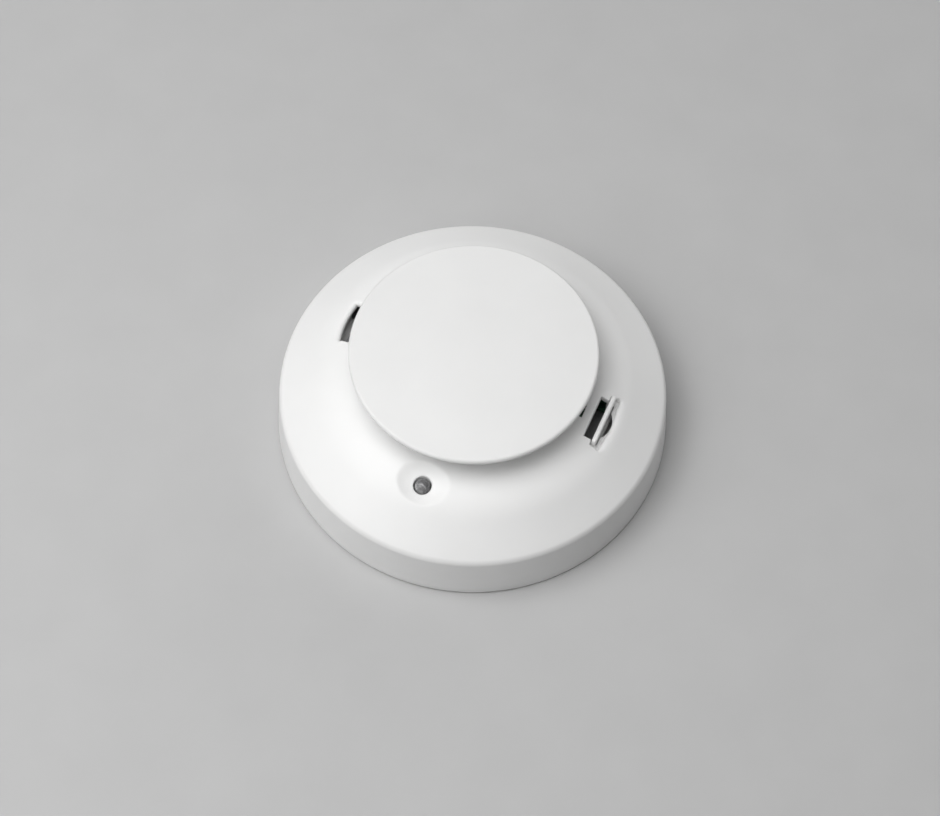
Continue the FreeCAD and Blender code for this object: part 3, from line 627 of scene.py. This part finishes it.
def cut_slot(grid, window, azimuth, upper_sides, lower_sides, upper_depths, lower_depths, lips):
    """Opening with a rounded lip, a sunken or sloping floor between two outlines, and upright walls.

    The depths and lips hold one value for each of the four sides: inner, +v end, outer, -v end.
    A lip wider than LIP_DEPTH is a long round that is no deeper than that.
    """
    outer_loop, counts = grid.window_loop(window, grid.outer)
    inner_loop, _ = grid.window_loop(window, grid.inner)
    upper = outline(upper_sides, counts)
    lower = outline(lower_sides, counts)
    normals = outward(upper)

    def round_loop(per_side):
        values = []
        for value, count in zip(per_side, counts):
            values += [value] * count
        return softened(values, 3)

    lip = round_loop(lips)
    floor_upper = round_loop(upper_depths)
    floor_lower = round_loop(lower_depths)
    last = grid.fill(outer_loop, azimuth, moved(upper, normals, lip), outer_height, 10, 0.8)
    for tilt in (15, 30, 45, 60, 75, 90):
        share = math.radians(tilt)
        spread = [r * (1 - math.sin(share)) for r in lip]
        sink = [min(r, LIP_DEPTH) * (1 - math.cos(share)) for r in lip]
        ring = grid.place(moved(upper, normals, spread), azimuth, outer_height, sink)
        grid.skin.bridge(last, ring)
        last = ring
    steps = [(upper, floor_upper)]
    for share in (0.2, 0.5, 0.8, 1.0):
        depths = [a + (b - a) * share for a, b in zip(floor_upper, floor_lower)]
        steps.append((mixed(upper, lower, share), depths))
    steps.append((lower, [d + 0.25 for d in floor_lower]))
    for loop, depths in steps:
        ring = grid.place(loop, azimuth, outer_height, depths)
        grid.skin.bridge(last, ring)
        last = ring
    under = grid.fill(inner_loop, azimuth, moved(lower, outward(lower), [0.3] * len(lower)), inner_height, 6)
    corner = grid.place(lower, azimuth, inner_height, [-0.1] * len(lower))
    grid.skin.bridge(last, corner)
    grid.skin.bridge(corner, under)


def cut_lamp_dish(grid, window, azimuth):
    """Round dish with the lamp's hole, and the thick boss under it."""
    outer_loop, _ = grid.window_loop(window, grid.outer)
    inner_loop, _ = grid.window_loop(window, grid.inner)
    start = grid.local(outer_loop, azimuth)
    middle = turn(LAMP_CENTRE.x, LAMP_CENTRE.y, -azimuth)
    angles = [math.atan2(v - middle[1], u - middle[0]) for u, v in start]

    def ring_at(radius, height, drop=0.0):
        loop = [(middle[0] + radius * math.cos(a), middle[1] + radius * math.sin(a)) for a in angles]
        return grid.place(loop, azimuth, height, [drop] * len(loop))

    rim_r = DISH_R + 0.3
    rim = [(middle[0] + rim_r * math.cos(a), middle[1] + rim_r * math.sin(a)) for a in angles]
    last = grid.fill(outer_loop, azimuth, rim, outer_height, 12)
    lip = 0.3
    stations = [rim_r - 0.25 * i for i in range(1, int((rim_r - LAMP_HOLE_R - lip) / 0.25))]
    for radius in stations + [LAMP_HOLE_R + lip]:
        ring = ring_at(radius, outer_height)
        grid.skin.bridge(last, ring)
        last = ring
    for tilt in (30, 60, 90):
        share = math.radians(tilt)
        ring = ring_at(LAMP_HOLE_R + lip * (1 - math.sin(share)), outer_height, lip * (1 - math.cos(share)))
        grid.skin.bridge(last, ring)
        last = ring
    boss_z = dome_height(LAMP_R) - DISH_DEPTH - WALL
    boss_edge = 0.3
    boss_radii = (LAMP_HOLE_R, 5.0, DISH_R - boss_edge)
    flat = [ring_at(r, lambda x, y: min(boss_z, inner_height(x, y))) for r in boss_radii]
    flat.append(ring_at(DISH_R, lambda x, y: min(boss_z + boss_edge, inner_height(x, y))))
    for ring in flat:
        grid.skin.bridge(last, ring)
        last = ring
    foot = [(middle[0] + DISH_R * math.cos(a), middle[1] + DISH_R * math.sin(a)) for a in angles]
    under = grid.fill(inner_loop, azimuth, foot, inner_height, 3)
    grid.skin.bridge(last, under)


def latch_slot_sides():
    """Lower outline: the opening with its round thumb hole. Upper: with the fin's groove."""
    inner_u, outer_u = LATCH_SLOT_U
    groove_u, groove_end_u = GROOVE_U
    inner_half = [(inner_u, 0.0), (inner_u, SLOT_HALF)]
    thumb = [turn(THUMB_ROUND_R, 0, angle) for angle in (40, 30, 20, 10, 0)]
    outer_half = [(outer_u, SLOT_HALF)] + [(u + THUMB_CENTRE_U, v) for u, v in thumb]
    square_end = [(inner_u, SLOT_HALF), (groove_u, SLOT_HALF), (outer_u, SLOT_HALF)]
    groove_end = square_end[:2] + [(groove_u, GROOVE_HALF), (groove_end_u, GROOVE_HALF)]
    lower = mirrored_sides(inner_half, square_end, outer_half)
    upper = mirrored_sides(inner_half, groove_end, SCOOP_SIDE)
    return upper, lower


def hook_slot_sides():
    """Four sides of the opening over the fixed hook, whose outer side is well rounded."""
    low_v, high_v = HOOK_SLOT_V
    inner = [(HOOK_SLOT_U, low_v), (HOOK_SLOT_U, high_v)]
    return [inner, [inner[1], HOOK_OUTER_SIDE[0]], HOOK_OUTER_SIDE, [HOOK_OUTER_SIDE[-1], inner[0]]]


def core_hole_sides():
    low_u, high_u = CORE_HOLE_U
    half = CORE_HOLE_HALF
    corners = [(low_u, -half), (low_u, half), (high_u, half), (high_u, -half)]
    return [[corner, corners[(i + 1) % 4]] for i, corner in enumerate(corners)]


def cover_fittings():
    """Ribs, pivot cheeks and the hook's ledge on the inside of the cover."""
    parts = []
    for i in range(RIB_COUNT):
        azimuth = FIRST_RIB_AZIMUTH + 360 * i / RIB_COUNT
        parts.append(block(RIB_R, (-RIB_HALF_T, RIB_HALF_T), RIB_Z, azimuth))
    for side in (-1, 1):
        v_span = sorted(side * v for v in CHEEK_V)
        parts.append(block(CHEEK_U, v_span, CHEEK_Z, LATCH_AZIMUTH))
        parts.append(block(CHEEK_TOP_U, v_span, CHEEK_TOP_Z, LATCH_AZIMUTH))
    ledge_v = (-LEDGE_HALF, LEDGE_HALF)
    parts.append(block(LEDGE_WALL_U, ledge_v, LEDGE_WALL_Z, HOOK_AZIMUTH))
    parts.append(block(LEDGE_STEP_U, ledge_v, LEDGE_STEP_Z, HOOK_AZIMUTH))
    return parts


def build_cover():
    grid = CoverGrid()
    lamp_window_azimuth = LATCH_AZIMUTH - 87.5
    latch = grid.open_window((38.5, 51.0), LATCH_AZIMUTH, 13.5)
    core = grid.open_window((33.0, 38.5), LATCH_AZIMUTH, 7.0)
    hook = grid.open_window((38.5, 51.0), HOOK_AZIMUTH, 13.0)
    lamp = grid.open_window((33.0, 55.0), lamp_window_azimuth, 13.5)
    grid.build()
    upper, lower = latch_slot_sides()
    cut_slot(grid, latch, LATCH_AZIMUTH, upper, lower,
             upper_depths=(0.4, 1.75, 1.75, 1.75), lower_depths=(0.6, 1.9, 1.9, 1.9),
             lips=(0.3, 0.4, 2.7, 0.4))
    sides = hook_slot_sides()
    cut_slot(grid, hook, HOOK_AZIMUTH, sides, sides,
             upper_depths=(0.4, 0.6, 1.75, 1.3), lower_depths=(0.6, 0.8, 1.9, 1.9),
             lips=(0.3, 0.5, 2.2, 1.6))
    sides = core_hole_sides()
    cut_slot(grid, core, LATCH_AZIMUTH, sides, sides,
             upper_depths=(0.4,) * 4, lower_depths=(0.6,) * 4, lips=(0.25,) * 4)
    cut_lamp_dish(grid, lamp, lamp_window_azimuth)
    shell = merged([grid.skin.to_bmesh()] + cover_fittings())
    piece("cover_shell", shell, "cover", COVER_WHITE, ["outer_cover"], 40.0)


# ---- cap and cage -------------------------------------------------------------------------------

POST_AZIMUTHS = [FIRST_POST_AZIMUTH + 360 * i / POST_COUNT for i in range(POST_COUNT)]


def build_cap():
    round_r = CAP_RIM_T / 2
    flat_r = CAP_R - round_r
    crown = CAP_TOP_Z - CAP_RIM_Z
    crown_r = (flat_r ** 2 + crown ** 2) / (2 * crown)
    crown_z = CAP_TOP_Z - crown_r
    bottom_z = CAP_RIM_Z - CAP_RIM_T
    edge_deg = math.degrees(math.acos(flat_r / crown_r))
    top = arc_points((0.0, crown_z), crown_r, 89.5, edge_deg, 40)
    rim = arc_points((flat_r, CAP_RIM_Z - round_r), round_r, 86, -90, 16)
    pocket_z = bottom_z + CAP_POCKET_DEPTH
    under = [(30.0, bottom_z), (24.0, bottom_z)]
    under += [(CAP_POCKET_R + 0.2, bottom_z), (CAP_POCKET_R, bottom_z + 0.2)]
    under += [(CAP_POCKET_R, pocket_z - 0.3), (CAP_POCKET_R - 0.3, pocket_z)]
    under += [(10.0, pocket_z), (0.5, pocket_z)]
    disc = lathe(top + rim + under, 360)
    pegs = []
    for azimuth in POST_AZIMUTHS:
        x, y = turn(POST_PITCH_R, 0, azimuth)
        pegs.append(rod(PEG_R, (x, y, bottom_z - PEG_LENGTH), (x, y, bottom_z + JOIN)))
    # the disc takes the darker copy of the white plastic, which is painted shade
    piece("cap_disc", merged([disc] + pegs), "cover", CAP_SHADED_WHITE, ["sensor_cap"])


def build_cage():
    foot_z, top_z = DOME_TOP_Z + CAGE_FOOT_T, CAP_RIM_Z - CAP_RIM_T
    inner_r, outer_r = CAGE_R
    edge = 0.25
    foot = [(inner_r, DOME_TOP_Z + edge), (inner_r + edge, DOME_TOP_Z), (outer_r - edge, DOME_TOP_Z),
            (outer_r, DOME_TOP_Z + edge), (outer_r, foot_z - edge), (outer_r - edge, foot_z),
            (inner_r + edge, foot_z), (inner_r, foot_z - edge)]
    parts = [lathe(foot, 180, closed=True)]
    root_z = DOME_TOP_Z + JOIN
    for i in range(VANE_COUNT):
        azimuth = FIRST_POST_AZIMUTH + 360 * i / VANE_COUNT
        parts.append(block(VANE_R, (-VANE_HALF_T, VANE_HALF_T), (root_z, top_z), azimuth))
    for azimuth in POST_AZIMUTHS:
        x, y = turn(POST_PITCH_R, 0, azimuth)
        parts.append(rod(POST_R, (x, y, root_z), (x, y, top_z), 48))
        leg_azimuth = azimuth + 180 / VANE_COUNT
        leg_v = (-LEG_HALF, LEG_HALF)
        parts.append(block(LEG_U, leg_v, (LEG_BOTTOM_Z, root_z + 0.1), leg_azimuth))
        parts.append(block(LEG_BARB_U, leg_v, LEG_BARB_Z, leg_azimuth, edge=0.5))
    piece("cage_of_vanes", merged(parts), "cover", COVER_WHITE, ["vane_cage"])


# ---- latch and lamp -----------------------------------------------------------------------------

def build_latch():
    arm_v = (-LATCH_HALF, LATCH_HALF)
    fin = block(FIN_U, (-FIN_HALF, FIN_HALF), (FIN_BOTTOM_Z, FIN_TOP_Z), LATCH_AZIMUTH, edge=0.6, steps=4)
    arm = block(LATCH_ARM_U, arm_v, (LATCH_BOTTOM_Z, FIN_BOTTOM_Z + 0.6), LATCH_AZIMUTH)
    barb = block(LATCH_BARB_U, arm_v, (LATCH_BOTTOM_Z, LATCH_BARB_TOP_Z), LATCH_AZIMUTH, edge=0.4)
    ends = [(*turn(PIVOT_U, side * PIVOT_HALF, LATCH_AZIMUTH), PIVOT_Z) for side in (-1, 1)]
    pivot = rod(PIVOT_R, ends[0], ends[1], 24)
    latch = merged([fin, arm, barb, pivot])
    # the fin takes the whiter copy of the white plastic, which is a painted highlight
    piece("latch_fin", latch, "latch", LATCH_LIT_WHITE, ["release_latch"])


def build_lamp():
    centre = (LAMP_CENTRE.x, LAMP_CENTRE.y)
    dome_z = LAMP_TOP_Z - LAMP_BODY_R
    dome = arc_points((0.0, dome_z), LAMP_BODY_R, 86, 0, 16)
    flange_top = LAMP_BOTTOM_Z + LAMP_FLANGE_T
    edge = 0.1
    foot = [(LAMP_BODY_R, flange_top + edge), (LAMP_FLANGE_R - edge, flange_top)]
    foot += [(LAMP_FLANGE_R, flange_top - edge), (LAMP_FLANGE_R, LAMP_BOTTOM_Z + edge)]
    foot += [(LAMP_FLANGE_R - edge, LAMP_BOTTOM_Z), (0.4, LAMP_BOTTOM_Z)]
    piece("lamp_lens", lathe(dome + foot, 96, centre), "head", LENS_SMOKED, ["indicator_lamp"])
    build_lead_frame(centre, dome_z)


def build_lead_frame(centre, dome_z):
    """Cup with the chip, and the post beside it, inside the lens."""
    x, y = centre
    cup_z = dome_z - CUP_BELOW_DOME
    cup = [(0.35, cup_z - 0.6), (0.75, cup_z - 0.6), (1.05, cup_z + 0.3), (0.95, cup_z + 0.3),
           (0.55, cup_z - 0.25), (0.2, cup_z - 0.25)]
    parts = [lathe(cup, 32, (x - CUP_OFFSET, y))]
    foot_z = LAMP_BOTTOM_Z + 0.4
    y_span = (y - LEAD_HALF_T, y + LEAD_HALF_T)
    for (near_x, far_x), top_z in ((CUP_POST_X, cup_z - 0.5), (WIRE_POST_X, cup_z + 0.2)):
        parts.append(block((x + near_x, x + far_x), y_span, (foot_z, top_z), edge=0.08))
    piece("lamp_lead_frame", merged(parts), "head", TINNED)


# ---- pieces refined from the frame's own solids -------------------------------------------------

def refined(name, node, body, slot, material, edge_mm):
    """Copy of a CAD node with its edges rounded."""
    bm = bmesh.new()
    bm.from_mesh(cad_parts[node].data)
    bmesh.ops.remove_doubles(bm, verts=bm.verts[:], dist=1e-6)
    bmesh.ops.dissolve_limit(bm, angle_limit=math.radians(1.0), verts=bm.verts[:], edges=bm.edges[:])
    made = piece(name, bm, body, material, [node])
    bevel = made.modifiers.new("edges", "BEVEL")
    bevel.width = edge_mm * MM
    bevel.segments = 2
    bevel.limit_method = "ANGLE"
    bevel.angle_limit = math.radians(40)
    bevel.use_clamp_overlap = True
    bevel.harden_normals = True
    return made


REFINED = (
    ("base_moulding", "base_plate", "base", "base_plastic", BASE_WHITE, 0.3),
    ("spring_strips", "contact_springs", "base", "spring_metal", SPRING_STEEL, 0.08),
    ("clamp_plates", "terminal_clamps", "base", "plated_steel", ZINC, 0.15),
    ("wire_screws", "terminal_screws", "base", "plated_steel", ZINC, 0.15),
    ("carrier_moulding", "rear_carrier", "head", "carrier_plastic", CARRIER_GREY, 0.25),
    ("seal_ring", "base_seal", "head", "seal_foam", SEAL_FOAM, 0.2),
    ("blade_contacts", "contact_blades", "head", "contact_metal", BRASS, 0.1),
    ("board", "circuit_board", "head", "board_laminate", BOARD_GREEN, 0.1),
    ("small_screws", "board_screws", "head", "plated_steel", ZINC, 0.15),
    ("controller_body", "controller_chip", "head", "chip_epoxy", CHIP_BLACK, 0.15),
    ("rectifier_body", "bridge_rectifier", "head", "chip_epoxy", CHIP_BLACK, 0.2),
    ("regulator_bodies", "regulators", "head", "chip_epoxy", CHIP_BLACK, 0.15),
    ("resistor_bodies", "resistors", "head", "chip_epoxy", CHIP_BLACK, 0.08),
    ("capacitor_cans", "capacitors", "head", "capacitor_can", CAN, 0.3),
    ("suppressor_disc", "surge_suppressor", "head", "suppressor_coating", SUPPRESSOR_BLUE, 0.6),
    ("sensor_bead_outer", "heat_sensor_bead", "head", "sensor_bead", BEAD_BLACK, 0.15),
    ("sensor_bead_inner", "inner_heat_sensor", "head", "sensor_bead", BEAD_BLACK, 0.1),
    ("sensor_sleeve", "heat_sensor_sleeve", "head", "sleeve_plastic", SLEEVE_CLEAR, 0.15),
    ("sensor_wires", "heat_sensor_leads", "head", "tinned_wire", TINNED, 0.05),
    ("lamp_wires", "lamp_leads", "head", "tinned_wire", TINNED, 0.05),
    ("lamp_stand", "lamp_spacer", "head", "spacer_plastic", SPACER_BLACK, 0.1),
)


# ---- camera, light and floor --------------------------------------------------------------------

CAMERA_ELEVATION = 62.16
CAMERA_ROLL = 1.62
CAMERA_DISTANCE = 0.5558


def build_camera():
    """Camera that looks down at the centre of the base from the front."""
    elevation, roll = math.radians(CAMERA_ELEVATION), math.radians(CAMERA_ROLL)
    forward = Vector((0, math.cos(elevation), -math.sin(elevation)))
    right = Vector((1, 0, 0))
    up = right.cross(forward)
    rolled_right = right * math.cos(roll) + up * math.sin(roll)
    rolled_up = up * math.cos(roll) - right * math.sin(roll)
    data = bpy.data.cameras.new("camera")
    data.sensor_width = 36
    data.lens = 64.65
    data.shift_x = -0.00245
    data.shift_y = 0.00574
    camera = bpy.data.objects.new("camera", data)
    bpy.context.scene.collection.objects.link(camera)
    pose = Matrix((rolled_right, rolled_up, -forward)).transposed().to_4x4()
    pose.translation = -forward * CAMERA_DISTANCE
    camera.matrix_world = pose
    bpy.context.scene.camera = camera


def area_light(name, azimuth, elevation, distance, size, power):
    data = bpy.data.lights.new(name, "AREA")
    data.shape = "DISK"
    data.size = size
    data.energy = power
    lamp = bpy.data.objects.new(name, data)
    bpy.context.scene.collection.objects.link(lamp)
    a, e = math.radians(azimuth), math.radians(elevation)
    towards = Vector((math.cos(a) * math.cos(e), math.sin(a) * math.cos(e), math.sin(e)))
    lamp.location = towards * distance
    lamp.rotation_mode = "QUATERNION"
    lamp.rotation_quaternion = towards.to_track_quat("Z", "Y")


def build_studio():
    world = bpy.data.worlds.new("studio")
    world.use_nodes = True
    background = world.node_tree.nodes["Background"]
    background.inputs["Color"].default_value = (1, 1, 1, 1)
    background.inputs["Strength"].default_value = 0.05
    bpy.context.scene.world = world
    bpy.context.scene.view_settings.view_transform = "Standard"
    area_light("above", 180, 75, 1.2, 0.9, 5.6)
    area_light("left", 180, 50, 1.2, 0.9, 3.6)
    area_light("front_left", 225, 50, 1.2, 0.9, 3.0)
    area_light("close_left", 210, 45, 0.55, 0.5, 0.42)
    area_light("front_right", 300, 75, 1.2, 0.9, 2.0)
    area_light("behind_right", 45, 25, 1.2, 0.9, 2.6)
    area_light("behind", 90, 25, 1.2, 0.9, 0.7)
    floor_material = moulded("floor_paper", (0.50, 0.50, 0.50), (0.485, 0.485, 0.485), (0.75, 0.9), 0.5, 0.01)
    bm = bmesh.new()
    bmesh.ops.create_grid(bm, x_segments=1, y_segments=1, size=2.0)
    mesh = bpy.data.meshes.new("floor")
    bm.to_mesh(mesh)
    bm.free()
    mesh.materials.append(floor_material)
    floor = bpy.data.objects.new("floor", mesh)
    bpy.context.scene.collection.objects.link(floor)


build_cover()
build_cap()
build_cage()
build_latch()
build_lamp()
for row in REFINED:
    refined(*row)
build_camera()
build_studio()
